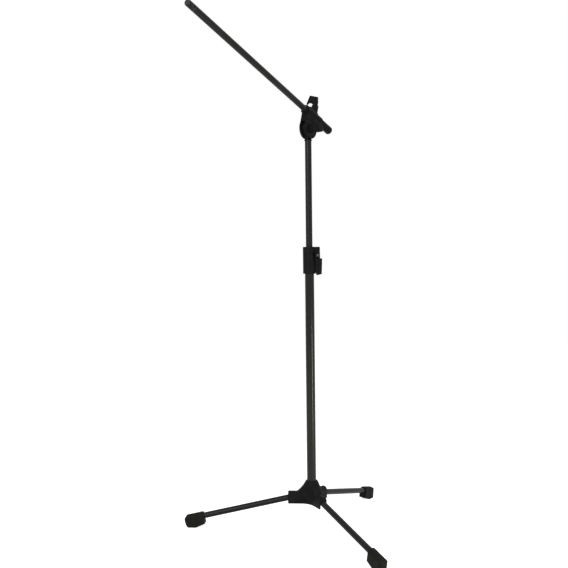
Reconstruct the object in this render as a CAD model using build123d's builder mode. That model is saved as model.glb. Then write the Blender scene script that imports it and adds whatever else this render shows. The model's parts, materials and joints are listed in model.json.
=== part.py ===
from build123d import *
import math
import os

# Boom microphone stand, in millimetres. The origin is on the floor, on the mast axis.
# +Z is up and +X is the way the boom's microphone end points. The three legs stand at
# 60, 180 and 300 degrees, so the rear leg lies under the boom's short tail.
os.makedirs("parts", exist_ok=True)

# ---------------------------------------------------------------- clearances
running = 0.08          # radial play of a shaft that turns or slides in a hole
fixed = 0.05            # radial play of a bolt in its hole
air = 0.3               # between faces of parts that move past each other

# ---------------------------------------------------------------- base hub
leg_azimuths = (60, 180, 300)
hub_bottom = 69         # underside of the hub above the floor
hub_arm_top = 101.5     # top of the arms at their ends
hub_top = 130           # rim of the collar round the column
hub_reach = 64.5        # mast axis to the end of an arm
hub_arm_width = 22
hub_web_radius = 45     # plan radius of the hollow sides between two arms
hub_ridge = 20          # width of the ridge that climbs from each arm to the collar
hub_shoulder = 56       # where that climb starts, inside the arm
hub_waist = (31, 109)   # reach and height of a point on that climb
collar_wall = 4
hub_floor = 3           # plastic under the foot of the column

# ---------------------------------------------------------------- legs
leg_diameter = 16
leg_wall = 1.2
leg_slope = 12.6        # degrees below the horizontal
leg_apex = 97.3         # height where the three leg axes meet the mast axis
leg_pivot_reach = 44    # mast axis to the fold pivot, level
leg_stub = 4            # tube beyond the pivot, towards the mast
leg_end = 342           # outer end of the tube, along the leg axis from the apex
leg_plug_length = 24
pivot_diameter = 6
pivot_pin_recess = 0.3  # each end of the pin below the side of the arm
nut_height = 5
nut_flats = 10

# ---------------------------------------------------------------- leg boots
boot_start = 305        # near face, along the leg axis from the apex
boot_end = 359.5
boot_width = 24
boot_top = 12           # above the leg axis
boot_heel = 20          # below the leg axis
boot_pad = (332, 353)   # start and end of the flat pad that stands on the floor
boot_crown = 345        # where the top starts to round down to the toe
boot_toe_drop = 4       # foremost point of the toe, below the leg axis
boot_corner = 8         # rounding of the toe's two corners, in plan

# ---------------------------------------------------------------- mast
column_diameter = 25
column_wall = 1.5
column_foot = hub_bottom + hub_floor
column_top = 737
upper_diameter = 18
upper_wall = 1.2
upper_foot = column_top - 295
upper_top = column_top + 319
guide_height = 10
guide_spigot = 20
plug_height = 12

# ---------------------------------------------------------------- height clutch
clutch_bottom = column_top - 43.5
clutch_top = column_top + 29.5
clutch_radius = 17.5
clutch_azimuth = 120    # side of the mast that the ears stand on
ear_reach = 29
ear_width = 15          # across both ears, along the clamp bolt
ear_bottom = column_top - 33
slit_width = 3
slit_bottom = column_top - 21
clutch_bolt_reach = 23.5
clutch_bolt_height = column_top + 5
clutch_bolt_diameter = 6
washer_thickness = 1.2
cam_radius = 8
lever_pin_diameter = 5
eye_radius = 5
eye_thickness = 5
lever_inner = 18        # mast axis to the near side of the lever
lever_outer = 35.2      # mast axis to the far side of the paddle
lever_bottom = column_top - 48
lever_thickness = 6

# ---------------------------------------------------------------- boom head
tilt_height = upper_top + 32.5  # pivot of the boom head
boom_slope = 16.6       # degrees that the boom climbs towards its tip
boom_offset = 44.5      # tilt pivot to the boom axis
head_radius = 27.5
head_half = 10.5        # half of the head's width, along the tilt axis
tongue_radius = 21
tongue_thickness = 10
tongue_flange = 10.5
tongue_flange_height = 2.2
friction_radius = 19
friction_thickness = 1
tilt_bolt_diameter = 8
tilt_head_flats = 13
tilt_head_height = 5.3
rim_width = 3.5
rim_height = 0.8
boss_radius = 12.5
front_boss_height = 3.5
rear_boss_height = 4.5
sleeve_radius = 13
sleeve_tail = -47       # ends of the boom sleeve, along the boom from the pivot's foot
sleeve_tip = 28
sleeve_waist = 13       # half the length over which the ears run into the sleeve
lock_place = -17        # lock screw, along the boom from the pivot's foot
lock_boss_radius = 9.5
lock_boss_top = 33      # above the boom axis
lock_insert_bottom = 22
lock_insert_radius = 5
lock_screw_diameter = 6
shoe_radius = 4.4
shoe_gap = 0.1

# ---------------------------------------------------------------- hand knobs
tilt_washer_radius = 9
tilt_washer_thickness = 1.6
tilt_knob_neck = 9.5
tilt_knob_neck_length = 6
tilt_knob_radius = 13
tilt_knob_length = 27
tilt_knob_lobes = 8
insert_radius = 6.5
insert_length = 14
tilt_bolt_reach = 38    # end of the tilt bolt, from the mast axis
wing_stem_radius = 7
wing_stem_bottom = 33.8     # above the boom axis
wing_stem_top = 48
wing_reach = 24.5       # stem axis to the wing's far corner
wing_edge = 5.5         # stem axis to the wing's near edge
wing_top = 60
wing_bottom = 37
wing_thickness = 6.5
wing_turn = 40          # degrees that the wing is turned from square across the boom
lock_screw_top = 47

# ---------------------------------------------------------------- boom
boom_diameter = 16
boom_wall = 1.2
boom_tube_tail = -101
boom_tube_tip = 502
tail_cap_end = -105.5
tail_cap_start = -52
tail_cap_radius = 11.2
mic_thread_diameter = 15.875
mic_thread_length = 18
mic_collar_length = 4
mic_undercut_length = 2
mic_undercut_radius = 6.8
mic_spigot_length = 25

# ---------------------------------------------------------------- worked-out sizes
leg_radius = leg_diameter / 2
hub_spring = hub_arm_top - hub_arm_width / 2
column_radius = column_diameter / 2
upper_radius = upper_diameter / 2
boom_radius = boom_diameter / 2
slope = math.radians(leg_slope)
pivot_along = leg_pivot_reach / math.cos(slope)
pivot_height = leg_apex - leg_pivot_reach * math.tan(slope)
leg_start = pivot_along - leg_stub
channel_radius = leg_radius + air
swing_radius = math.hypot(leg_stub, leg_radius) + air
gap_half = tongue_thickness / 2 + friction_thickness + 0.1


def radial_plane(azimuth):
    """Upright plane through the mast axis: X runs outwards, Y runs up."""
    a = math.radians(azimuth)
    return Plane(origin=(0, 0, 0), x_dir=(math.cos(a), math.sin(a), 0), z_dir=(math.sin(a), -math.cos(a), 0))


def leg_direction(azimuth):
    a = math.radians(azimuth)
    return (math.cos(a) * math.cos(slope), math.sin(a) * math.cos(slope), -math.sin(slope))


def leg_section(azimuth, along):
    """Plane square across a leg, at a distance along its axis: Y runs up."""
    a = math.radians(azimuth)
    across = (-math.sin(a), math.cos(a), 0)
    return Plane(origin=(0, 0, leg_apex), x_dir=across, z_dir=leg_direction(azimuth)).offset(along)


def leg_side(azimuth):
    """Upright plane through a leg: X runs down the leg, Y stands off it."""
    a = math.radians(azimuth)
    return Plane(origin=(0, 0, leg_apex), x_dir=leg_direction(azimuth), z_dir=(math.sin(a), -math.cos(a), 0))


def leg_top(azimuth):
    """Plane through a leg's axis and square to its side: X runs down the leg."""
    return Plane(origin=(0, 0, leg_apex), x_dir=leg_direction(azimuth), z_dir=leg_section(azimuth, 0).y_dir)


def floor_below(along):
    """How far under the leg axis the floor is, square to the leg."""
    return -(leg_apex - along * math.sin(slope)) / math.cos(slope)


def arm_section(azimuth):
    """Upright plane through the mast axis and square across an arm: Y runs up."""
    a = math.radians(azimuth)
    return Plane(origin=(0, 0, 0), x_dir=(-math.sin(a), math.cos(a), 0), z_dir=(math.cos(a), math.sin(a), 0))


def reach_of(shape):
    """Level distance from the mast axis to the middle of an edge or face, to sort by."""
    return round(math.hypot(shape.center().X, shape.center().Y), 1)


def finish(builder, name):
    builder.part.label = name
    export_step(builder.part, f"parts/{name}.step")


# ================================================================ base hub
with BuildPart() as base_hub:
    with BuildSketch(Plane.XY.offset(hub_bottom)) as hub_plan:
        with PolarLocations(hub_reach / 2, len(leg_azimuths), start_angle=leg_azimuths[0]):
            Rectangle(hub_reach, hub_ridge)
        fillet(hub_plan.vertices().group_by(lambda v: round(math.hypot(v.X, v.Y), 3))[0], hub_web_radius)
    extrude(amount=hub_top - hub_bottom)
    with BuildSketch(Plane.XZ):
        with BuildLine():
            Polyline(
                (0, hub_top),
                (0, hub_bottom),
                (hub_shoulder, hub_bottom),
                (hub_shoulder, hub_spring),
            )
            ThreePointArc((hub_shoulder, hub_spring), hub_waist, (column_radius + collar_wall, hub_top))
            Line((column_radius + collar_wall, hub_top), (0, hub_top))
        make_face()
    revolve(axis=Axis.Z, mode=Mode.INTERSECT)
    # each arm has a round back
    for azimuth in leg_azimuths:
        with BuildSketch(arm_section(azimuth)):
            with Locations((0, hub_spring)):
                Circle(hub_arm_width / 2)
                Rectangle(hub_arm_width, hub_spring - hub_bottom, align=(Align.CENTER, Align.MAX))
        extrude(amount=hub_reach)
    fillet(base_hub.faces().group_by(reach_of)[-1].edges(), 1.8)
    with BuildSketch(Plane.XY.offset(hub_top)):
        Circle(column_radius)
    extrude(amount=column_foot - hub_top, mode=Mode.SUBTRACT)
    for azimuth in leg_azimuths:
        # arched channel that the leg lies in, open at its end and below
        with BuildSketch(leg_section(azimuth, pivot_along)):
            Circle(channel_radius)
            with Locations((0, -hub_top / 2)):
                Rectangle(2 * channel_radius, hub_top)
        extrude(amount=hub_reach, mode=Mode.SUBTRACT)
        # room for the tube's short end to swing up as the leg folds down
        with BuildSketch(radial_plane(azimuth)):
            with Locations((leg_pivot_reach, pivot_height)):
                Circle(swing_radius)
            with Locations((leg_pivot_reach - swing_radius, 0)):
                Rectangle(hub_reach, pivot_height, align=(Align.MIN, Align.MIN))
        extrude(amount=channel_radius, both=True, mode=Mode.SUBTRACT)
        with BuildSketch(radial_plane(azimuth)):
            with Locations((leg_pivot_reach, pivot_height)):
                Circle(pivot_diameter / 2 + fixed)
        extrude(amount=hub_arm_width, both=True, mode=Mode.SUBTRACT)

# screw that holds the column in the hub, in the hollow side between two arms
column_screw_azimuth = (leg_azimuths[1] + leg_azimuths[2]) / 2
column_screw_height = 112
column_screw_seat = 17.5
column_screw_radius = 2
column_screw_tip = column_radius - column_wall - 2
column_screw_head = 4
column_screw_head_height = 2.4
screw_direction = (
    math.cos(math.radians(column_screw_azimuth)),
    math.sin(math.radians(column_screw_azimuth)),
    0,
)
screw_plane = Plane(origin=(0, 0, column_screw_height), x_dir=(0, 0, 1), z_dir=screw_direction)
with base_hub:
    with BuildSketch(screw_plane.offset(column_screw_seat)):
        Circle(column_screw_head + 1)
    extrude(amount=hub_reach, mode=Mode.SUBTRACT)
    with BuildSketch(screw_plane):
        Circle(column_screw_radius + fixed)
    extrude(amount=hub_reach, mode=Mode.SUBTRACT)
finish(base_hub, "base_hub")

with BuildPart() as column_screw:
    with BuildSketch(screw_plane.offset(column_screw_tip)):
        Circle(column_screw_radius)
    extrude(amount=column_screw_seat - column_screw_tip)
    with BuildSketch(screw_plane.offset(column_screw_seat)):
        Circle(column_screw_head)
    extrude(amount=column_screw_head_height)
    fillet(column_screw.faces().sort_by(Axis(screw_plane.origin, screw_direction))[-1].edges(), 1.2)
    with BuildSketch(screw_plane.offset(column_screw_seat + column_screw_head_height)):
        Rectangle(4.6, 0.9)
        Rectangle(0.9, 4.6)
    extrude(amount=-1.3, mode=Mode.SUBTRACT)
finish(column_screw, "column_screw")


# ================================================================ legs
def make_leg_tube(azimuth):
    with BuildPart() as tube:
        with BuildSketch(leg_section(azimuth, leg_start)):
            Circle(leg_radius)
            Circle(leg_radius - leg_wall, mode=Mode.SUBTRACT)
        extrude(amount=leg_end - leg_start)
        with BuildSketch(radial_plane(azimuth)):
            with Locations((leg_pivot_reach, pivot_height)):
                Circle(pivot_diameter / 2 + running)
        extrude(amount=leg_diameter, both=True, mode=Mode.SUBTRACT)
    return tube


def make_leg_plug(azimuth):
    with BuildPart() as plug:
        with BuildSketch(leg_section(azimuth, leg_start)):
            Circle(leg_radius - leg_wall)
        extrude(amount=leg_plug_length)
        with BuildSketch(radial_plane(azimuth)):
            with Locations((leg_pivot_reach, pivot_height)):
                Circle(pivot_diameter / 2 + running)
        extrude(amount=leg_diameter, both=True, mode=Mode.SUBTRACT)
    return plug


def make_leg_boot(azimuth):
    pad_start, pad_end = boot_pad
    with BuildPart() as boot:
        # side outline: square near face, heel, flat pad on the floor and rounded toe
        with BuildSketch(leg_side(azimuth)):
            with BuildLine():
                toe = (boot_end, -boot_toe_drop)
                Polyline(
                    (boot_crown, boot_top),
                    (boot_start, boot_top),
                    (boot_start, -boot_heel),
                    (pad_start, floor_below(pad_start)),
                    (pad_end, floor_below(pad_end)),
                )
                ThreePointArc((pad_end, floor_below(pad_end)), (boot_end - 1.4, -boot_toe_drop - 9), toe)
                ThreePointArc(toe, (boot_end - 3.2, boot_top - 5.5), (boot_crown, boot_top))
            make_face()
        extrude(amount=boot_width / 2, both=True)
        # end outline: arched top over straight sides
        with BuildSketch(leg_section(azimuth, boot_start - 1)):
            Circle(boot_width / 2)
            with Locations((0, -boot_width)):
                Rectangle(boot_width, 2 * boot_width)
        extrude(amount=boot_end - boot_start + 2, mode=Mode.INTERSECT)
        # plan outline: rounded toe
        with BuildSketch(leg_top(azimuth)) as boot_plan:
            with Locations((boot_start - 1, 0)):
                Rectangle(boot_end - boot_start + 1, boot_width, align=(Align.MIN, Align.CENTER))
            fillet(boot_plan.vertices().sort_by(Axis.X)[-2:], boot_corner)
        extrude(amount=2 * boot_width, both=True, mode=Mode.INTERSECT)
        with BuildSketch(leg_section(azimuth, boot_start)):
            Circle(leg_radius)
        extrude(amount=leg_end - boot_start, mode=Mode.SUBTRACT)
    return boot


for number, azimuth in enumerate(leg_azimuths, start=1):
    finish(make_leg_tube(azimuth), f"leg_tube_{number}")
    finish(make_leg_plug(azimuth), f"leg_plug_{number}")
    finish(make_leg_boot(azimuth), f"leg_boot_{number}")

with BuildPart() as leg_pivot_pins:
    for azimuth in leg_azimuths:
        with BuildSketch(radial_plane(azimuth)):
            with Locations((leg_pivot_reach, pivot_height)):
                Circle(pivot_diameter / 2)
        extrude(amount=hub_arm_width / 2 - pivot_pin_recess, both=True)
finish(leg_pivot_pins, "leg_pivot_pins")


# ================================================================ mast
with BuildPart() as lower_tube:
    with BuildSketch(Plane.XY.offset(column_foot)):
        Circle(column_radius)
        Circle(column_radius - column_wall, mode=Mode.SUBTRACT)
    extrude(amount=column_top - column_foot)
    with BuildSketch(screw_plane):
        Circle(column_screw_radius + fixed)
    extrude(amount=column_diameter, mode=Mode.SUBTRACT)
finish(lower_tube, "lower_tube")

with BuildPart() as lower_tube_plug:
    with BuildSketch(Plane.XY.offset(column_foot)):
        Circle(column_radius - column_wall)
    extrude(amount=plug_height)
    with BuildSketch(Plane.XY.offset(column_foot + plug_height)):
        Circle(column_radius - column_wall - 2)
    extrude(amount=-plug_height + 3, mode=Mode.SUBTRACT)
finish(lower_tube_plug, "lower_tube_plug")

cross_pin_height = upper_top - 14
cross_pin_radius = 1.6
with BuildPart() as upper_tube:
    with BuildSketch(Plane.XY.offset(upper_foot)):
        Circle(upper_radius)
        Circle(upper_radius - upper_wall, mode=Mode.SUBTRACT)
    extrude(amount=upper_top - upper_foot)
    with BuildSketch(Plane.XZ):
        with Locations((0, cross_pin_height)):
            Circle(cross_pin_radius)
    extrude(amount=upper_diameter, both=True, mode=Mode.SUBTRACT)
finish(upper_tube, "upper_tube")

# nylon guide on the foot of the upper tube, which slides in the lower tube
guide_radius = column_radius - column_wall - running
with BuildPart() as upper_tube_guide:
    with BuildSketch(Plane.XY.offset(upper_foot - guide_height)):
        Circle(guide_radius)
    extrude(amount=guide_height - air)
    with BuildSketch(Plane.XY.offset(upper_foot - air)):
        Circle(upper_radius - upper_wall - running)
    extrude(amount=guide_spigot)
    chamfer(upper_tube_guide.faces().sort_by(Axis.Z)[0].edges(), 1)
    with BuildSketch(Plane.XY.offset(upper_foot - guide_height)):
        Circle(upper_radius - upper_wall - 2.5)
    extrude(amount=guide_height + guide_spigot, mode=Mode.SUBTRACT)
finish(upper_tube_guide, "upper_tube_guide")

# ================================================================ height clutch
clutch_side = radial_plane(clutch_azimuth)
ear_start = column_radius - column_wall - 2
with BuildPart() as clutch_body:
    with BuildSketch(Plane.XY.offset(clutch_bottom)):
        Circle(clutch_radius)
    extrude(amount=clutch_top - clutch_bottom)
    with BuildSketch(clutch_side):
        with BuildLine():
            Polyline(
                (ear_start, clutch_top),
                (ear_start, ear_bottom - 6),
                (clutch_radius, ear_bottom - 6),
                (ear_reach, ear_bottom + 4),
                (ear_reach, clutch_top),
                close=True,
            )
        make_face()
    extrude(amount=ear_width / 2, both=True)
    fillet(clutch_body.edges().filter_by(Axis.Z).group_by(reach_of)[-1], 2)
    chamfer(clutch_body.faces().sort_by(Axis.Z)[-1].edges(), 0.8)
    chamfer(clutch_body.faces().sort_by(Axis.Z)[0].edges(), 0.8)
    with BuildSketch(Plane.XY.offset(clutch_bottom)):
        Circle(column_radius)
    extrude(amount=column_top - clutch_bottom, mode=Mode.SUBTRACT)
    with BuildSketch(Plane.XY.offset(column_top)):
        Circle(column_radius - column_wall)
    extrude(amount=clutch_top - column_top, mode=Mode.SUBTRACT)
    # slit between the two ears, which the lever pulls together
    with BuildSketch(clutch_side):
        with Locations((0, slit_bottom)):
            Rectangle(ear_reach + 1, clutch_top - slit_bottom + 1, align=(Align.MIN, Align.MIN))
    extrude(amount=slit_width / 2, both=True, mode=Mode.SUBTRACT)
    with BuildSketch(clutch_side):
        with Locations((clutch_bolt_reach, clutch_bolt_height)):
            Circle(clutch_bolt_diameter / 2 + fixed)
    extrude(amount=ear_width, both=True, mode=Mode.SUBTRACT)
finish(clutch_body, "clutch_body")

with BuildPart() as clutch_liner:
    with BuildSketch(Plane.XY.offset(column_top)):
        Circle(column_radius - column_wall)
        Circle(upper_radius + running, mode=Mode.SUBTRACT)
        with PolarLocations(clutch_radius / 2, 1, start_angle=clutch_azimuth):
            Rectangle(clutch_radius, slit_width, mode=Mode.SUBTRACT)
    extrude(amount=clutch_top - column_top)
finish(clutch_liner, "clutch_liner")

# The side plane's normal points to the lever, so positive offsets are on the lever's side.
lever_side = 1 if clutch_side.z_dir.dot(Vector(math.cos(math.radians(30)), math.sin(math.radians(30)), 0)) > 0 else -1
pin_offset = ear_width / 2 + air + cam_radius
bolt_tail = -(ear_width / 2 + washer_thickness + nut_height + 1)


def clutch_plane(offset):
    return clutch_side.offset(offset * lever_side)


# plane square to the lever's pin, through the clamp bolt: X runs along the bolt to the lever, Y runs up
bolt_direction = clutch_side.z_dir * lever_side
reach_direction = clutch_side.x_dir
lever_plane = Plane(
    origin=reach_direction * clutch_bolt_reach + Vector(0, 0, clutch_bolt_height),
    x_dir=bolt_direction,
    z_dir=bolt_direction.cross(Vector(0, 0, 1)),
)
outward = 1 if lever_plane.z_dir.dot(reach_direction) > 0 else -1

with BuildPart() as clutch_bolt:
    with BuildSketch(clutch_plane(bolt_tail)):
        with Locations((clutch_bolt_reach, clutch_bolt_height)):
            Circle(clutch_bolt_diameter / 2)
    extrude(amount=(ear_width / 2 - bolt_tail) * lever_side)
    with BuildSketch(lever_plane):
        with Locations((ear_width / 2, 0)):
            Rectangle(pin_offset - ear_width / 2, clutch_bolt_diameter * 0.8, align=(Align.MIN, Align.CENTER))
        with Locations((pin_offset, 0)):
            Circle(eye_radius)
            Circle(lever_pin_diameter / 2 + fixed, mode=Mode.SUBTRACT)
    extrude(amount=eye_thickness / 2, both=True)
finish(clutch_bolt, "clutch_bolt")

with BuildPart() as clutch_washer:
    with BuildSketch(clutch_plane(-ear_width / 2)):
        with Locations((clutch_bolt_reach, clutch_bolt_height)):
            Circle(clutch_bolt_diameter)
            Circle(clutch_bolt_diameter / 2, mode=Mode.SUBTRACT)
    extrude(amount=-washer_thickness * lever_side)
finish(clutch_washer, "clutch_washer")

with BuildPart() as clutch_nut:
    with BuildSketch(clutch_plane(-ear_width / 2 - washer_thickness)):
        with Locations((clutch_bolt_reach, clutch_bolt_height)):
            RegularPolygon(nut_flats / 2, 6, major_radius=False)
            Circle(clutch_bolt_diameter / 2, mode=Mode.SUBTRACT)
    extrude(amount=-nut_height * lever_side)
finish(clutch_nut, "clutch_nut")

lever_width_inner = clutch_bolt_reach - lever_inner
lever_head_outer = ear_reach + 0.5 - clutch_bolt_reach
with BuildPart() as clutch_lever:
    # cam head, then the paddle that hangs down outside the ear
    with BuildSketch(lever_plane.offset(-lever_width_inner * outward)):
        with Locations((pin_offset, 0)):
            Circle(cam_radius)
    extrude(amount=(lever_width_inner + lever_head_outer) * outward)
    paddle_top = clutch_bolt_height - 1
    paddle_plane = Plane(
        origin=bolt_direction * (pin_offset - cam_radius),
        x_dir=reach_direction,
        z_dir=clutch_side.z_dir,
    )
    with BuildSketch(paddle_plane):
        with BuildLine():
            Polyline(
                (lever_inner, paddle_top),
                (lever_inner, lever_bottom + 3),
                (lever_inner + 3, lever_bottom),
                (lever_outer - 1.5, lever_bottom + 3.5),
                (lever_outer, clutch_bolt_height - 7.5),
                (ear_reach + 0.5, clutch_bolt_height - 7),
                (ear_reach + 0.5, paddle_top),
                close=True,
            )
        make_face()
    extrude(amount=lever_thickness * lever_side)
    # the paddle stands off the ear and its face is hollowed for the thumb
    with BuildSketch(lever_plane.offset(-lever_width_inner * outward)):
        with BuildLine():
            dish_top = (pin_offset - cam_radius + lever_thickness, -cam_radius - 4)
            dish_low = (pin_offset - cam_radius + lever_thickness, lever_bottom - clutch_bolt_height + 6)
            dish_mid = (pin_offset - cam_radius + lever_thickness - 2.2, (dish_top[1] + dish_low[1]) / 2)
            ThreePointArc(dish_top, dish_mid, dish_low)
            Line(dish_low, dish_top)
        make_face()
    extrude(amount=(lever_outer - lever_inner) * outward, mode=Mode.SUBTRACT)
    # slot for the bolt's eye, open on every side but the paddle's
    with BuildSketch(lever_plane):
        with Locations((pin_offset, 0)):
            Rectangle(4 * cam_radius, 2 * eye_radius + 1)
            with Locations((0, cam_radius)):
                Rectangle(4 * cam_radius, 2 * cam_radius)
    extrude(amount=eye_thickness / 2 + air, both=True, mode=Mode.SUBTRACT)
    with BuildSketch(lever_plane):
        with Locations((pin_offset, 0)):
            Circle(lever_pin_diameter / 2 + running)
    extrude(amount=lever_outer, both=True, mode=Mode.SUBTRACT)
finish(clutch_lever, "clutch_lever")

with BuildPart() as clutch_pin:
    with BuildSketch(lever_plane.offset(-(lever_width_inner - 0.3) * outward)):
        with Locations((pin_offset, 0)):
            Circle(lever_pin_diameter / 2)
    extrude(amount=(lever_width_inner + lever_head_outer - 0.6) * outward)
finish(clutch_pin, "clutch_pin")

# ================================================================ head tongue
with BuildPart() as head_tongue:
    with BuildSketch(Plane.XY.offset(upper_top - 30)):
        Circle(upper_radius - upper_wall)
    extrude(amount=30)
    with BuildSketch(Plane.XY.offset(upper_top)):
        Circle(tongue_flange)
    extrude(amount=tongue_flange_height)
    with BuildSketch(Plane.XZ):
        with Locations((0, tilt_height)):
            Circle(tongue_radius)
        with Locations((0, upper_top + tongue_flange_height / 2)):
            Rectangle(2 * tongue_flange - 2, tilt_height - upper_top, align=(Align.CENTER, Align.MIN))
    extrude(amount=tongue_thickness / 2, both=True)
    with BuildSketch(Plane.XZ):
        with Locations((0, tilt_height)):
            Circle(tilt_bolt_diameter / 2 + running)
        with Locations((0, cross_pin_height)):
            Circle(cross_pin_radius)
    extrude(amount=tongue_flange, both=True, mode=Mode.SUBTRACT)
finish(head_tongue, "head_tongue")

with BuildPart() as tongue_pin:
    with BuildSketch(Plane.XZ):
        with Locations((0, cross_pin_height)):
            Circle(cross_pin_radius)
    extrude(amount=upper_radius - 0.1, both=True)
finish(tongue_pin, "tongue_pin")

# ================================================================ boom head
tilt = math.radians(boom_slope)
boom_direction = Vector(math.cos(tilt), 0, math.sin(tilt))
lift_direction = Vector(-math.sin(tilt), 0, math.cos(tilt))
pivot_point = Vector(0, 0, tilt_height)
# X runs along the boom, Y stands off it, and the normal is -Y of the stand
head_plane = Plane(origin=pivot_point, x_dir=boom_direction, z_dir=(0, -1, 0))


def boom_section(along):
    """Plane square across the boom, centred on its axis."""
    return Plane(
        origin=pivot_point + lift_direction * boom_offset + boom_direction * along,
        x_dir=(0, 1, 0),
        z_dir=boom_direction,
    )


def lock_section(height):
    """Plane square to the lock screw, at a height above the boom axis: X runs along the boom."""
    return Plane(
        origin=pivot_point + boom_direction * lock_place + lift_direction * (boom_offset + height),
        x_dir=boom_direction,
        z_dir=lift_direction,
    )


def tilt_section(y):
    """Plane square to the tilt axis, at a distance from the mast axis towards +Y."""
    return Plane(origin=(0, y, tilt_height), x_dir=(1, 0, 0), z_dir=(0, 1, 0))


with BuildPart() as head_body:
    with BuildSketch(head_plane) as head_outline:
        Circle(head_radius)
        with Locations((sleeve_waist, boom_offset), (-sleeve_waist - 1, boom_offset)):
            Circle(sleeve_radius)
        make_hull()
    extrude(amount=head_half, both=True)
    fillet(head_body.faces().filter_by(Axis.Y).edges(), 1.2)
    # raised rim and bosses on the two cheeks
    with BuildSketch(tilt_section(head_half)):
        Circle(head_radius - 0.8)
        Circle(head_radius - 0.8 - rim_width, mode=Mode.SUBTRACT)
        Circle(boss_radius)
    extrude(amount=rim_height)
    with BuildSketch(tilt_section(-head_half)):
        Circle(head_radius - 0.8)
        Circle(head_radius - 0.8 - rim_width, mode=Mode.SUBTRACT)
        Circle(boss_radius)
    extrude(amount=-rim_height)
    with BuildSketch(tilt_section(head_half)):
        Circle(boss_radius - 1)
    extrude(amount=front_boss_height)
    with BuildSketch(tilt_section(-head_half)):
        Circle(boss_radius - 1)
    extrude(amount=-rear_boss_height)
    # sleeve round the boom, and the boss that holds the lock screw's nut
    with BuildSketch(boom_section(sleeve_tail)):
        Circle(sleeve_radius)
    extrude(amount=sleeve_tip - sleeve_tail)
    with BuildSketch(lock_section(0)):
        Circle(lock_boss_radius)
    extrude(amount=lock_boss_top)
    # gap for the tongue, open wherever the mast can swing
    with BuildSketch(head_plane):
        Circle(tongue_radius + 1.5)
        with Locations((0, -head_radius)):
            Rectangle(3 * head_radius, 2 * head_radius + 2 * (tongue_flange + 0.6))
    extrude(amount=gap_half, both=True, mode=Mode.SUBTRACT)
    with BuildSketch(boom_section(sleeve_tail)):
        Circle(boom_radius + running)
    extrude(amount=sleeve_tip - sleeve_tail, mode=Mode.SUBTRACT)
    with BuildSketch(head_plane):
        Circle(tilt_bolt_diameter / 2 + fixed)
    extrude(amount=3 * head_half, both=True, mode=Mode.SUBTRACT)
    with BuildSketch(tilt_section(-head_half - rear_boss_height)):
        RegularPolygon(tilt_head_flats / 2, 6, major_radius=False)
    extrude(amount=tilt_head_height, mode=Mode.SUBTRACT)
    with BuildSketch(lock_section(0)):
        Circle(lock_screw_diameter / 2 + fixed)
    extrude(amount=lock_boss_top + 1, mode=Mode.SUBTRACT)
    with BuildSketch(lock_section(0)):
        Circle(shoe_radius + fixed)
    extrude(amount=boom_radius + running + 2.5, mode=Mode.SUBTRACT)
    # seat of the threaded insert, flush with the boss
    with BuildSketch(lock_section(lock_insert_bottom)):
        Circle(lock_insert_radius)
    extrude(amount=lock_boss_top - lock_insert_bottom, mode=Mode.SUBTRACT)
finish(head_body, "head_body")

with BuildPart() as friction_washers:
    for side in (-1, 1):
        with BuildSketch(tilt_section(side * gap_half)):
            Circle(friction_radius)
            Circle(tilt_bolt_diameter / 2 + 0.5, mode=Mode.SUBTRACT)
        extrude(amount=-side * friction_thickness)
finish(friction_washers, "friction_washers")

tilt_head_face = -head_half - rear_boss_height
with BuildPart() as tilt_bolt:
    with BuildSketch(tilt_section(tilt_head_face)):
        RegularPolygon(tilt_head_flats / 2, 6, major_radius=False)
    extrude(amount=tilt_head_height)
    with BuildSketch(tilt_section(tilt_head_face)):
        Circle(tilt_bolt_diameter / 2)
    extrude(amount=tilt_bolt_reach - tilt_head_face)
    chamfer(tilt_bolt.faces().sort_by(Axis.Y)[-1].edges(), 0.8)
finish(tilt_bolt, "tilt_bolt")

washer_face = head_half + front_boss_height
with BuildPart() as tilt_washer:
    with BuildSketch(tilt_section(washer_face)):
        Circle(tilt_washer_radius)
        Circle(tilt_bolt_diameter / 2, mode=Mode.SUBTRACT)
    extrude(amount=tilt_washer_thickness)
finish(tilt_washer, "tilt_washer")

knob_face = washer_face + tilt_washer_thickness + 0.2
with BuildPart() as tilt_knob:
    with BuildSketch(tilt_section(knob_face)):
        Circle(tilt_knob_neck)
    extrude(amount=tilt_knob_neck_length)
    with BuildSketch(tilt_section(knob_face + tilt_knob_neck_length)):
        Circle(tilt_knob_radius)
        with PolarLocations(tilt_knob_radius + 1.2, tilt_knob_lobes):
            Circle(2.4, mode=Mode.SUBTRACT)
    extrude(amount=tilt_knob_length - tilt_knob_neck_length)
    fillet(tilt_knob.faces().sort_by(Axis.Y)[-1].edges(), 1.5)
    with BuildSketch(tilt_section(knob_face)):
        Circle(insert_radius)
    extrude(amount=insert_length, mode=Mode.SUBTRACT)
    with BuildSketch(tilt_section(knob_face)):
        Circle(tilt_bolt_diameter / 2 + running)
    extrude(amount=tilt_bolt_reach - knob_face + 1, mode=Mode.SUBTRACT)
finish(tilt_knob, "tilt_knob")

with BuildPart() as tilt_knob_insert:
    with BuildSketch(tilt_section(knob_face)):
        Circle(insert_radius)
        Circle(tilt_bolt_diameter / 2 + fixed, mode=Mode.SUBTRACT)
    extrude(amount=insert_length)
finish(tilt_knob_insert, "tilt_knob_insert")

# ================================================================ boom lock
with BuildPart() as lock_insert:
    with BuildSketch(lock_section(lock_insert_bottom)):
        Circle(lock_insert_radius)
        Circle(lock_screw_diameter / 2 + fixed, mode=Mode.SUBTRACT)
    extrude(amount=lock_boss_top - lock_insert_bottom)
finish(lock_insert, "lock_insert")

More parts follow.
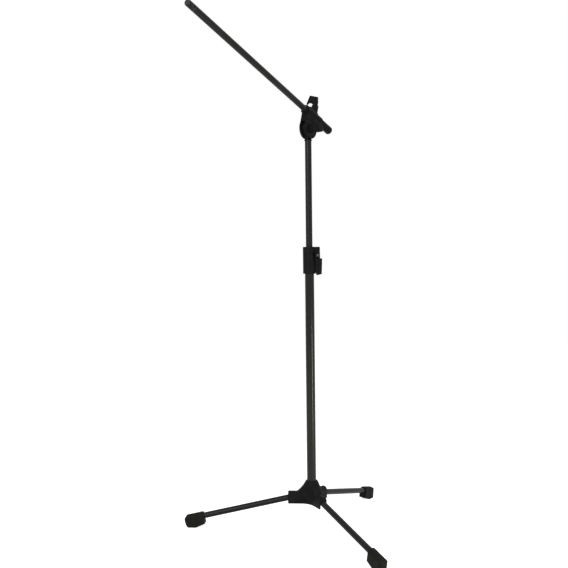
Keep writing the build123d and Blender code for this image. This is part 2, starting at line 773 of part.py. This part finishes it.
shoe_bottom = boom_radius + shoe_gap
shoe_top = boom_radius + running + 2.3
with BuildPart() as lock_shoe:
    with BuildSketch(lock_section(boom_radius - 2)):
        Circle(shoe_radius)
    extrude(amount=shoe_top - boom_radius + 2)
    with BuildSketch(boom_section(lock_place - 2 * shoe_radius)):
        Circle(shoe_bottom)
    extrude(amount=4 * shoe_radius, mode=Mode.SUBTRACT)
finish(lock_shoe, "lock_shoe")

with BuildPart() as lock_screw:
    with BuildSketch(lock_section(shoe_top + 0.1)):
        Circle(lock_screw_diameter / 2)
    extrude(amount=lock_screw_top - shoe_top - 0.1)
    chamfer(lock_screw.faces().sort_by(Axis(pivot_point, lift_direction))[0].edges(), 0.6)
finish(lock_screw, "lock_screw")

# The knob is a stem with one broad wing, whose far corner turns down beside the boss.
wing_angle = math.radians(wing_turn)
wing_direction = boom_direction * math.sin(wing_angle) - Vector(0, math.cos(wing_angle), 0)
wing_upright = Plane(
    origin=lock_section(0).origin,
    x_dir=wing_direction,
    z_dir=wing_direction.cross(lift_direction),
)
with BuildPart() as boom_knob:
    with BuildSketch(wing_upright):
        with BuildLine():
            Polyline(
                (-wing_edge, wing_bottom + 8),
                (-wing_edge + 0.3, wing_top - 1.5),
                (-wing_edge + 2.3, wing_top),
                (wing_reach - 7, wing_top),
                (wing_reach - 5, wing_top - 1.5),
                (wing_reach, wing_bottom - 2),
            )
            ThreePointArc(
                (wing_reach, wing_bottom - 2),
                (wing_reach - 2.8, wing_bottom - 3.5),
                (wing_reach - 5, wing_bottom - 2),
            )
            ThreePointArc(
                (wing_reach - 5, wing_bottom - 2),
                (wing_reach - 9, wing_bottom + 2.5),
                (wing_stem_radius - 1, wing_bottom - 1),
            )
            Line((wing_stem_radius - 1, wing_bottom - 1), (-wing_edge, wing_bottom + 8))
        make_face()
    extrude(amount=wing_thickness / 2, both=True)
    with BuildSketch(lock_section(wing_stem_bottom)):
        Circle(wing_stem_radius)
    extrude(amount=wing_stem_top - wing_stem_bottom)
    with BuildSketch(lock_section(wing_stem_bottom)):
        Circle(lock_screw_diameter / 2)
    extrude(amount=lock_screw_top - wing_stem_bottom, mode=Mode.SUBTRACT)
finish(boom_knob, "boom_knob")

# ================================================================ boom
with BuildPart() as boom_tube:
    with BuildSketch(boom_section(boom_tube_tail)):
        Circle(boom_radius)
        Circle(boom_radius - boom_wall, mode=Mode.SUBTRACT)
    extrude(amount=boom_tube_tip - boom_tube_tail)
finish(boom_tube, "boom_tube")

with BuildPart() as boom_tail_cap:
    with BuildSketch(boom_section(tail_cap_end)):
        Circle(tail_cap_radius)
    extrude(amount=tail_cap_start - tail_cap_end)
    fillet(boom_tail_cap.faces().sort_by(Axis(pivot_point, boom_direction))[0].edges(), 4)
    fillet(boom_tail_cap.faces().sort_by(Axis(pivot_point, boom_direction))[-1].edges(), 0.8)
    with BuildSketch(boom_section(boom_tube_tail - air)):
        Circle(boom_radius + running)
    extrude(amount=tail_cap_start - boom_tube_tail + 1, mode=Mode.SUBTRACT)
finish(boom_tail_cap, "boom_tail_cap")

with BuildPart() as mic_stud:
    with BuildSketch(boom_section(boom_tube_tip - mic_spigot_length)):
        Circle(boom_radius - boom_wall)
    extrude(amount=mic_spigot_length)
    with BuildSketch(boom_section(boom_tube_tip)):
        Circle(boom_radius)
    extrude(amount=mic_collar_length)
    with BuildSketch(boom_section(boom_tube_tip + mic_collar_length)):
        Circle(mic_undercut_radius)
    extrude(amount=mic_undercut_length)
    with BuildSketch(boom_section(boom_tube_tip + mic_collar_length + mic_undercut_length)):
        Circle(mic_thread_diameter / 2)
    extrude(amount=mic_thread_length)
    chamfer(mic_stud.faces().sort_by(Axis(pivot_point, boom_direction))[-1].edges(), 1.2)
finish(mic_stud, "mic_stud")
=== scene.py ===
import json
import math

import bmesh
import bpy
from bpy.props import FloatProperty, FloatVectorProperty, IntProperty, PointerProperty
from bpy.types import Operator, Panel, PropertyGroup
from mathutils import Matrix, Vector


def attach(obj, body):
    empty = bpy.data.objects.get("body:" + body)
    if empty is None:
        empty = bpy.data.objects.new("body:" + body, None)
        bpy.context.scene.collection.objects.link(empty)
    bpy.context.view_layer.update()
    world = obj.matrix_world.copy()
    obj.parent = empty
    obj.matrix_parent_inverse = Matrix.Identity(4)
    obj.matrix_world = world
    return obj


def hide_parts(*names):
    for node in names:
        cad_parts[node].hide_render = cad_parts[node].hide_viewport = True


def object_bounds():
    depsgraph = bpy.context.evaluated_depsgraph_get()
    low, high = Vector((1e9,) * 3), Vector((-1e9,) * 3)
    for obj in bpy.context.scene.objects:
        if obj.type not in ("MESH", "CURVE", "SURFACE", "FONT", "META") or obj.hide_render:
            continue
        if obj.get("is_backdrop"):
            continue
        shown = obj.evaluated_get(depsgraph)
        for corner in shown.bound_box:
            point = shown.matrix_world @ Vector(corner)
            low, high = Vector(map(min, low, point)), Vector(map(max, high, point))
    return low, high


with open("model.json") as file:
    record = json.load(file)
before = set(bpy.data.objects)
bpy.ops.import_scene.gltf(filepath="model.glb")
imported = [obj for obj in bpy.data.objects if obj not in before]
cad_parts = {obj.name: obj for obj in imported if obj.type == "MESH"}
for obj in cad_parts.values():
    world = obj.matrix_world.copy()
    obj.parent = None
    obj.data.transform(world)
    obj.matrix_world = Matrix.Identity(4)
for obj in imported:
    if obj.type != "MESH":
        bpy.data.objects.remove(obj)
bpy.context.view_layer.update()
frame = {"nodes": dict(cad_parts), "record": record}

bl_info = {
    "name": "Boom Stand Finish",
    "version": (1, 0, 0),
    "blender": (4, 5, 0),
    "location": "View3D > Sidebar > Boom Stand",
    "description": "Finishes a boom microphone stand: paint, mouldings, boots, threaded stud and studio",
    "category": "Object",
}

FLOOR_LIFT = 0.84       # share of the white that the floor shows whether lit or in shadow
FLOOR_HALF_WIDTH = 6.0

CAMERA_LENS = 46.46     # mm on a 36 mm sensor
CAMERA_DISTANCE = 2.0   # from the mast's axis
CAMERA_HEIGHT = 0.6705
CAMERA_TURNS = (31.94, -2.0, 0.12, 0.59)    # azimuth from +X, yaw, dip and roll in degrees

BOOTS = ("leg_boot_1", "leg_boot_2", "leg_boot_3")
MOULDINGS = {
    "base_hub": "hub",
    "clutch_body": "clutch",
    "clutch_lever": "clutch",
    "head_body": "head",
    "head_tongue": "head",
    "tilt_knob": "knob",
    "boom_knob": "knob",
    "boom_tail_cap": "cap",
}
STEEL_PARTS = (
    "column_screw",
    "clutch_bolt",
    "clutch_washer",
    "clutch_nut",
    "clutch_pin",
    "tongue_pin",
    "tilt_bolt",
    "tilt_washer",
    "lock_screw",
)
OXIDE_PARTS = ("leg_pivot_pins",)
BRASS_PARTS = ("tilt_knob_insert", "lock_insert")
NYLON_PARTS = (
    "lower_tube_plug",
    "upper_tube_guide",
    "clutch_liner",
    "leg_plug_1",
    "leg_plug_2",
    "leg_plug_3",
)
FIBRE_PARTS = ("friction_washers", "lock_shoe")


# ------------------------------------------------------------------ settings
class StandColours(PropertyGroup):
    gloss_black: FloatVectorProperty(
        name="Lower tube", description="Gloss paint of the lower tube",
        subtype="COLOR", size=3, min=0, max=1, default=(0.0075, 0.0073, 0.0060),
    )
    slate_black: FloatVectorProperty(
        name="Upper tube", description="Satin paint of the upper tube",
        subtype="COLOR", size=3, min=0, max=1, default=(0.0165, 0.0172, 0.0185),
    )
    boom_black: FloatVectorProperty(
        name="Boom", description="Satin paint of the boom",
        subtype="COLOR", size=3, min=0, max=1, default=(0.0170, 0.0168, 0.0155),
    )
    leg_black: FloatVectorProperty(
        name="Legs", description="Satin paint of the leg tubes",
        subtype="COLOR", size=3, min=0, max=1, default=(0.0100, 0.0100, 0.0092),
    )
    moulded_black: FloatVectorProperty(
        name="Mouldings", description="Plastic of the hub, clutch, head and knobs",
        subtype="COLOR", size=3, min=0, max=1, default=(0.0095, 0.0102, 0.0098),
    )
    rubber_black: FloatVectorProperty(
        name="Boots", description="Rubber of the leg boots",
        subtype="COLOR", size=3, min=0, max=1, default=(0.0090, 0.0090, 0.0072),
    )
    zinc_black: FloatVectorProperty(
        name="Screws", description="Black zinc of the bolts, nuts and pins",
        subtype="COLOR", size=3, min=0, max=1, default=(0.09, 0.09, 0.095),
    )


class StandSizes(PropertyGroup):
    thread_pitch: FloatProperty(
        name="Thread pitch", description="Distance between the stud's thread crests",
        unit="LENGTH", min=0.0005, max=0.003, default=0.0254 / 27,
    )
    thread_depth: FloatProperty(
        name="Thread depth", description="Depth of the stud's thread",
        unit="LENGTH", min=0.0001, max=0.001, default=0.00055,
    )
    edge_round: FloatProperty(
        name="Moulded edge", description="Rounding of the mouldings' edges",
        unit="LENGTH", min=0.0001, max=0.002, default=0.0007,
    )
    boot_round: FloatProperty(
        name="Boot edge", description="Rounding of the boots' edges",
        unit="LENGTH", min=0.0001, max=0.004, default=0.0016,
    )
    round_steps: IntProperty(
        name="Rounding steps", description="Steps across each rounded edge", min=1, max=6, default=3,
    )


# ------------------------------------------------------------------ materials
class Finish:
    """One procedural material, with helpers that add its grain, marks and bump."""

    def __init__(self, name, colour, roughness, metallic=0.0, specular=0.5):
        self.material = bpy.data.materials.new(name)
        self.material.use_nodes = True
        self.tree = self.material.node_tree
        self.shader = self.tree.nodes["Principled BSDF"]
        self.shader.inputs["Metallic"].default_value = metallic
        self.shader.inputs["Roughness"].default_value = roughness
        self.shader.inputs["Specular IOR Level"].default_value = specular
        self.shader.inputs["Base Color"].default_value = (*colour, 1)
        self.colour = colour
        self.place = self.tree.nodes.new("ShaderNodeTexCoord").outputs["Object"]
        self.bumped = None

    def noise(self, scale, detail=4.0, stretch=(1, 1, 1), roughness=0.55):
        spread = self.tree.nodes.new("ShaderNodeMapping")
        spread.inputs["Scale"].default_value = stretch
        self.tree.links.new(self.place, spread.inputs["Vector"])
        node = self.tree.nodes.new("ShaderNodeTexNoise")
        node.inputs["Scale"].default_value = scale
        node.inputs["Detail"].default_value = detail
        node.inputs["Roughness"].default_value = roughness
        self.tree.links.new(spread.outputs["Vector"], node.inputs["Vector"])
        return node.outputs["Fac"]

    def ramp(self, source, low, high, start, end):
        node = self.tree.nodes.new("ShaderNodeMapRange")
        node.interpolation_type = "SMOOTHSTEP"
        node.inputs["From Min"].default_value = start
        node.inputs["From Max"].default_value = end
        node.inputs["To Min"].default_value = low
        node.inputs["To Max"].default_value = high
        self.tree.links.new(source, node.inputs["Value"])
        return node.outputs["Result"]

    def tint(self, mask, light):
        """Blends the base colour towards a lighter one where the mask is high."""
        mix = self.tree.nodes.new("ShaderNodeMix")
        mix.data_type = "RGBA"
        mix.inputs["A"].default_value = (*self.colour, 1)
        mix.inputs["B"].default_value = (*light, 1)
        previous = self.shader.inputs["Base Color"].links
        if previous:
            self.tree.links.new(previous[0].from_socket, mix.inputs["A"])
        self.tree.links.new(mask, mix.inputs["Factor"])
        self.tree.links.new(mix.outputs["Result"], self.shader.inputs["Base Color"])

    def gloss(self, mask):
        self.tree.links.new(mask, self.shader.inputs["Roughness"])

    def bump(self, height, depth, strength=1.0):
        """Adds a layer of relief, depth in metres."""
        node = self.tree.nodes.new("ShaderNodeBump")
        node.inputs["Distance"].default_value = depth
        node.inputs["Strength"].default_value = strength
        self.tree.links.new(height, node.inputs["Height"])
        if self.bumped:
            self.tree.links.new(self.bumped, node.inputs["Normal"])
        self.bumped = node.outputs["Normal"]
        self.tree.links.new(self.bumped, self.shader.inputs["Normal"])


def paint(name, colour, roughness, coat, along):
    """Stove paint on drawn tube: faint ripple, fine draw lines along the tube and a few hand marks."""
    finish = Finish(name, colour, roughness, specular=0.06)
    finish.shader.inputs["Coat Weight"].default_value = coat
    finish.shader.inputs["Coat Roughness"].default_value = roughness * 0.7
    marks = finish.noise(18, 5, roughness=0.6)
    finish.tint(finish.ramp(marks, 0.0, 0.5, 0.5, 0.8), tuple(c * 1.8 + 0.002 for c in colour))
    dust = finish.noise(600, 2)
    finish.tint(finish.ramp(dust, 0.0, 0.25, 0.68, 0.76), (0.03, 0.03, 0.029))
    finish.gloss(finish.ramp(marks, roughness - 0.04, roughness + 0.08, 0.35, 0.7))
    finish.bump(finish.noise(300, 2), 0.00003, 0.35)
    stretch = tuple(0.03 if axis else 1 for axis in along)
    finish.bump(finish.noise(1500, 2, stretch), 0.00001, 0.25)
    return finish.material


def moulding(name, colour, roughness):
    """Moulded plastic: spark-eroded grain, slight mottling and small scuffs."""
    finish = Finish(name, colour, roughness, specular=0.03)
    mottle = finish.noise(60, 4)
    finish.tint(finish.ramp(mottle, 0.0, 0.5, 0.45, 0.75), tuple(c * 1.8 + 0.0015 for c in colour))
    finish.tint(finish.ramp(finish.noise(420, 3), 0.0, 0.3, 0.6, 0.72), tuple(c * 2.4 for c in colour))
    finish.gloss(finish.ramp(mottle, roughness - 0.07, roughness + 0.1, 0.35, 0.7))
    finish.bump(finish.noise(2200, 3), 0.00012, 0.6)
    finish.bump(finish.noise(140, 2), 0.0002, 0.25)
    return finish.material


def rubber(name, colour):
    """Moulded rubber: fine pitting, a dusty bloom and scuffs near the floor."""
    finish = Finish(name, colour, 0.72, specular=0.08)
    bloom = finish.noise(45, 5, roughness=0.65)
    finish.tint(finish.ramp(bloom, 0.0, 0.6, 0.45, 0.8), (0.022, 0.0215, 0.017))
    finish.tint(finish.ramp(finish.noise(900, 2), 0.0, 0.5, 0.62, 0.72), (0.035, 0.034, 0.03))
    finish.gloss(finish.ramp(bloom, 0.62, 0.86, 0.35, 0.7))
    finish.bump(finish.noise(1500, 3), 0.0002, 0.6)
    finish.bump(finish.noise(110, 3), 0.0004, 0.3)
    return finish.material


def metal(name, colour, roughness, tarnish):
    """Plated or turned metal: fine brushing, and darker tarnish in patches."""
    finish = Finish(name, colour, roughness, metallic=1.0)
    patches = finish.noise(180, 4)
    finish.tint(finish.ramp(patches, 0.0, 0.6, 0.45, 0.75), tarnish)
    finish.gloss(finish.ramp(patches, roughness - 0.06, roughness + 0.14, 0.3, 0.7))
    finish.bump(finish.noise(2600, 2, (1, 1, 0.2)), 0.00003, 0.5)
    return finish.material


def give(node_name, material):
    """Puts a finish on every material slot of a CAD node."""
    node = frame["nodes"][node_name]
    if not node.material_slots:
        node.data.materials.append(material)
    for holder in node.material_slots:
        holder.material = material


# ------------------------------------------------------------------ shapes
def body_carrying(node_name):
    for body, members in frame["record"]["behaviour"]["bodies"].items():
        if node_name in members:
            return body
    raise RuntimeError(f"no body carries {node_name}")


def new_piece(shape, name, node_name, material, sharp=35):
    """Turns a bmesh into the piece that stands for a CAD node and rides on its body."""
    bmesh.ops.recalc_face_normals(shape, faces=shape.faces)
    for face in shape.faces:
        face.smooth = True
    for edge in shape.edges:
        edge.smooth = edge.calc_face_angle(math.pi) < math.radians(sharp)
    mesh = bpy.data.meshes.new(name)
    shape.to_mesh(mesh)
    shape.free()
    mesh.materials.append(material)
    piece = bpy.data.objects.new(name, mesh)
    bpy.context.scene.collection.objects.link(piece)
    # flat faces stay flat beside their rounded edges
    evened = piece.modifiers.new("flat faces", "WEIGHTED_NORMAL")
    evened.keep_sharp = True
    evened.weight = 100
    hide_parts(node_name)
    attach(piece, body_carrying(node_name))
    return piece


def softened(node_name, round_width, steps, corner=28):
    """A merged copy of a CAD node with its moulded edges rounded."""
    shape = bmesh.new()
    shape.from_mesh(frame["nodes"][node_name].data)
    bmesh.ops.remove_doubles(shape, verts=shape.verts, dist=0.000005)
    bmesh.ops.dissolve_limit(
        shape, angle_limit=math.radians(0.4), verts=shape.verts, edges=shape.edges, delimit={"NORMAL"},
    )
    limit = math.radians(corner)
    edges = [
        edge for edge in shape.edges
        if len(edge.link_faces) == 2 and edge.is_convex and edge.calc_face_angle(0) > limit
    ]
    bmesh.ops.bevel(
        shape, geom=edges, offset=round_width, offset_type="OFFSET", segments=steps, profile=0.5,
        affect="EDGES", clamp_overlap=True, material=-1,
    )
    return shape


# ------------------------------------------------------------------ operators
class STAND_OT_paint_tubes(Operator):
    """Paint the mast, the boom and the legs"""

    bl_idname = "stand.paint_tubes"
    bl_label = "Paint Tubes"

    def execute(self, context):
        colours = context.scene.stand_colours
        give("lower_tube", paint("gloss black paint", colours.gloss_black, 0.24, 0.3, (0, 0, 1)))
        give("upper_tube", paint("slate satin paint", colours.slate_black, 0.34, 0.05, (0, 0, 1)))
        give("boom_tube", paint("boom satin paint", colours.boom_black, 0.33, 0.12, (1, 0, 0)))
        legs = paint("leg satin paint", colours.leg_black, 0.32, 0.08, (0, 0, 0))
        for name in ("leg_tube_1", "leg_tube_2", "leg_tube_3"):
            give(name, legs)
        return {"FINISHED"}


class STAND_OT_mouldings(Operator):
    """Round the edges of the plastic mouldings and give them their grain"""

    bl_idname = "stand.mouldings"
    bl_label = "Finish Mouldings"

    def execute(self, context):
        colours = context.scene.stand_colours
        sizes = context.scene.stand_sizes
        roughness = {"hub": 0.42, "clutch": 0.38, "head": 0.45, "knob": 0.4, "cap": 0.46}
        plastics = {
            kind: moulding(f"{kind} plastic", colours.moulded_black, value)
            for kind, value in roughness.items()
        }
        for name, kind in MOULDINGS.items():
            shape = softened(name, sizes.edge_round, sizes.round_steps)
            new_piece(shape, f"{name}_moulding", name, plastics[kind])
            give(name, plastics[kind])
        return {"FINISHED"}


class STAND_OT_boots(Operator):
    """Round the rubber boots and give them their dusty surface"""

    bl_idname = "stand.boots"
    bl_label = "Finish Boots"

    def execute(self, context):
        sizes = context.scene.stand_sizes
        material = rubber("boot rubber", context.scene.stand_colours.rubber_black)
        for name in BOOTS:
            shape = softened(name, sizes.boot_round, sizes.round_steps)
            new_piece(shape, f"{name}_rubber", name, material)
            give(name, material)
        return {"FINISHED"}


class STAND_OT_microphone_stud(Operator):
    """Cut the thread on the boom's microphone stud"""

    bl_idname = "stand.microphone_stud"
    bl_label = "Thread Stud"

    def execute(self, context):
        sizes = context.scene.stand_sizes
        mount = next(m for m in frame["record"]["mounts"] if m["name"] == "mic_thread")
        radius = mount["dims"]["r_mm"] / 1000
        length = mount["dims"]["length_mm"] / 1000
        axis = Vector(mount["axis"]).normalized()
        middle = Vector(mount["pos_m"])
        # lengths back from the foot of the thread, radii, and the plain end left at each end of the thread
        undercut, collar, spigot, chamfer = 0.002, 0.006, 0.0309, 0.0012
        spigot_radius, collar_radius, undercut_radius = 0.0067, 0.008, 0.0068
        plain_end = 0.0004
        crest_start, crest_end = 0.44, 0.56
        core = radius - sizes.thread_depth
        start = -length / 2
        outline = [
            (0, start - spigot),
            (spigot_radius, start - spigot),
            (spigot_radius, start - collar),
            (collar_radius, start - collar),
            (collar_radius, start - undercut),
            (undercut_radius, start - undercut),
            (undercut_radius, start),
            (core, start),
        ]
        for turn in range(int((length - 2 * plain_end) / sizes.thread_pitch)):
            low = start + plain_end + turn * sizes.thread_pitch
            outline.append((core, low))
            outline.append((radius, low + sizes.thread_pitch * crest_start))
            outline.append((radius, low + sizes.thread_pitch * crest_end))
        outline += [(core, length / 2), (radius - chamfer, length / 2 + chamfer), (0, length / 2 + chamfer)]
        shape = bmesh.new()
        points = [shape.verts.new((x, 0, z)) for x, z in outline]
        lines = [shape.edges.new(pair) for pair in zip(points, points[1:])]
        bmesh.ops.spin(
            shape, geom=points + lines, cent=(0, 0, 0), axis=(0, 0, 1),
            angle=math.tau, steps=64, use_merge=True,
        )
        bmesh.ops.remove_doubles(shape, verts=shape.verts, dist=0.00001)
        turn = axis.to_track_quat("Z", "Y").to_matrix().to_4x4()
        bmesh.ops.transform(shape, matrix=Matrix.Translation(middle) @ turn, verts=shape.verts)
        stud = Finish("black oxide steel", (0.02, 0.02, 0.022), 0.36, metallic=0.7)
        rub = stud.noise(300, 4)
        stud.tint(stud.ramp(rub, 0.0, 0.6, 0.5, 0.78), (0.12, 0.12, 0.12))
        stud.gloss(stud.ramp(rub, 0.28, 0.5, 0.35, 0.7))
        stud.bump(stud.noise(2500, 2), 0.00004, 0.5)
        new_piece(shape, "mic_stud_threaded", "mic_stud", stud.material, sharp=24)
        give("mic_stud", stud.material)
        return {"FINISHED"}


class STAND_OT_hardware(Operator):
    """Plate the screws, nuts and pins, and finish the inserts, bushes and friction parts"""

    bl_idname = "stand.hardware"
    bl_label = "Finish Hardware"

    def execute(self, context):
        zinc = metal("black zinc", context.scene.stand_colours.zinc_black, 0.34, (0.03, 0.03, 0.032))
        oxide = metal("black oxide", (0.016, 0.016, 0.017), 0.45, (0.008, 0.008, 0.008))
        brass = metal("turned brass", (0.60, 0.43, 0.18), 0.3, (0.30, 0.20, 0.09))
        nylon = Finish("natural nylon", (0.62, 0.61, 0.57), 0.45)
        nylon.tint(nylon.ramp(nylon.noise(80, 4), 0.0, 0.6, 0.4, 0.8), (0.5, 0.48, 0.43))
        nylon.bump(nylon.noise(1600, 2), 0.00006, 0.4)
        fibre = Finish("pressed fibre", (0.06, 0.052, 0.045), 0.8)
        fibre.tint(fibre.ramp(fibre.noise(1300, 3), 0.0, 0.8, 0.45, 0.6), (0.14, 0.12, 0.1))
        fibre.bump(fibre.noise(1800, 3), 0.0001, 0.7)
        for names, material in (
            (STEEL_PARTS, zinc),
            (OXIDE_PARTS, oxide),
            (BRASS_PARTS, brass),
            (NYLON_PARTS, nylon.material),
            (FIBRE_PARTS, fibre.material),
        ):
            for name in names:
                give(name, material)
        return {"FINISHED"}


def soft_lamp(name, place, target, width, height, power, colour=(1, 1, 1)):
    """A rectangular studio lamp aimed at a point."""
    lamp = bpy.data.lights.new(name, "AREA")
    lamp.shape = "RECTANGLE"
    lamp.size, lamp.size_y = width, height
    lamp.energy = power
    lamp.color = colour
    holder = bpy.data.objects.new(name, lamp)
    holder.location = place
    holder.rotation_euler = (Vector(target) - Vector(place)).to_track_quat("-Z", "Y").to_euler()
    bpy.context.scene.collection.objects.link(holder)


def shown_directly(tree):
    """One for the rays of the camera, mirrors and glass, and nought for the rays that light the stand."""
    rays = tree.nodes.new("ShaderNodeLightPath")
    chosen = rays.outputs["Is Camera Ray"]
    for other in ("Is Glossy Ray", "Is Transmission Ray"):
        either = tree.nodes.new("ShaderNodeMath")
        either.operation = "MAXIMUM"
        tree.links.new(chosen, either.inputs[0])
        tree.links.new(rays.outputs[other], either.inputs[1])
        chosen = either.outputs["Value"]
    return chosen


class STAND_OT_studio(Operator):
    """Set the floor, the soft lamps, the pale surroundings and the camera"""

    bl_idname = "stand.studio"
    bl_label = "Set Studio"

    def execute(self, context):
        scene = context.scene
        scene.view_settings.view_transform = "Standard"

        world = scene.world or bpy.data.worlds.new("pale room")
        scene.world = world
        world.use_nodes = True
        tree = world.node_tree
        room = tree.nodes["Background"]
        room.inputs["Color"].default_value = (0.9, 0.92, 0.95, 1)
        room.inputs["Strength"].default_value = 0.16
        backdrop = tree.nodes.new("ShaderNodeBackground")
        backdrop.inputs["Color"].default_value = (1, 1, 1, 1)
        backdrop.inputs["Strength"].default_value = 1.0
        mix = tree.nodes.new("ShaderNodeMixShader")
        tree.links.new(shown_directly(tree), mix.inputs["Fac"])
        tree.links.new(room.outputs["Background"], mix.inputs[1])
        tree.links.new(backdrop.outputs["Background"], mix.inputs[2])
        tree.links.new(mix.outputs["Shader"], tree.nodes["World Output"].inputs["Surface"])

        shape = bmesh.new()
        bmesh.ops.create_grid(shape, x_segments=1, y_segments=1, size=FLOOR_HALF_WIDTH)
        mesh = bpy.data.meshes.new("studio_floor")
        shape.to_mesh(mesh)
        shape.free()
        floor = bpy.data.objects.new("studio_floor", mesh)
        floor_material = bpy.data.materials.new("white floor")
        floor_material.use_nodes = True
        tree = floor_material.node_tree
        matt = tree.nodes["Principled BSDF"]
        matt.inputs["Base Color"].default_value = (0.86, 0.86, 0.85, 1)
        matt.inputs["Roughness"].default_value = 0.8
        lift = tree.nodes.new("ShaderNodeMath")
        lift.operation = "MULTIPLY"
        lift.inputs[1].default_value = FLOOR_LIFT
        tree.links.new(shown_directly(tree), lift.inputs[0])
        matt.inputs["Emission Color"].default_value = (1, 1, 1, 1)
        tree.links.new(lift.outputs["Value"], matt.inputs["Emission Strength"])
        mesh.materials.append(floor_material)
        scene.collection.objects.link(floor)
        floor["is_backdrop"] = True

        low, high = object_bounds()
        middle = (low + high) / 2
        soft_lamp("key lamp", (3.3, 0.1, 2.0), middle, 1.6, 1.6, 70)
        soft_lamp("fill lamp", (1.0, 3.2, 1.7), middle, 1.6, 1.6, 6, (0.94, 0.97, 1))
        soft_lamp("low lamp", (0.18, 1.15, 0.26), (0, 0, 0.25), 0.16, 0.45, 5, (1, 0.985, 0.88))
        soft_lamp("top lamp", (0.2, 0.2, 3.2), middle, 1.8, 1.8, 22)

        camera = bpy.data.cameras.new("camera")
        camera.sensor_width = 36
        camera.lens = CAMERA_LENS
        azimuth, yaw, dip, roll = (math.radians(v) for v in CAMERA_TURNS)
        toward = Vector((-math.cos(azimuth), -math.sin(azimuth), 0))
        beside = Vector((-math.sin(azimuth), math.cos(azimuth), 0))
        level = math.sin(yaw) * beside + math.cos(yaw) * toward
        forward = math.cos(dip) * level - Vector((0, 0, math.sin(dip)))
        right = math.cos(yaw) * beside - math.sin(yaw) * toward
        down = forward.cross(right)
        rolled_right = math.cos(roll) * right + math.sin(roll) * down
        rolled_down = math.cos(roll) * down - math.sin(roll) * right
        turn = Matrix((rolled_right, -rolled_down, -forward)).transposed().to_4x4()
        holder = bpy.data.objects.new("camera", camera)
        place = Vector((0, 0, CAMERA_HEIGHT)) - CAMERA_DISTANCE * toward
        holder.matrix_world = Matrix.Translation(place) @ turn
        scene.collection.objects.link(holder)
        scene.camera = holder
        return {"FINISHED"}


class STAND_PT_sidebar(Panel):
    """Lists the stand's settings and steps"""

    bl_idname = "STAND_PT_sidebar"
    bl_label = "Boom Stand"
    bl_space_type = "VIEW_3D"
    bl_region_type = "UI"
    bl_category = "Boom Stand"

    def draw(self, context):
        for group in (context.scene.stand_colours, context.scene.stand_sizes):
            column = self.layout.column(align=True)
            for name in group.__annotations__:
                column.prop(group, name)
        for step in STEPS:
            self.layout.operator(step.bl_idname)


STEPS = (
    STAND_OT_paint_tubes,
    STAND_OT_mouldings,
    STAND_OT_boots,
    STAND_OT_microphone_stud,
    STAND_OT_hardware,
    STAND_OT_studio,
)
CLASSES = (StandColours, StandSizes, *STEPS, STAND_PT_sidebar)


def register():
    for cls in CLASSES:
        bpy.utils.register_class(cls)
    bpy.types.Scene.stand_colours = PointerProperty(type=StandColours)
    bpy.types.Scene.stand_sizes = PointerProperty(type=StandSizes)


def unregister():
    del bpy.types.Scene.stand_sizes
    del bpy.types.Scene.stand_colours
    for cls in reversed(CLASSES):
        bpy.utils.unregister_class(cls)


def main():
    register()
    bpy.ops.stand.paint_tubes()
    bpy.ops.stand.mouldings()
    bpy.ops.stand.boots()
    bpy.ops.stand.microphone_stud()
    bpy.ops.stand.hardware()
    bpy.ops.stand.studio()


if __name__ == "__main__":
    main()
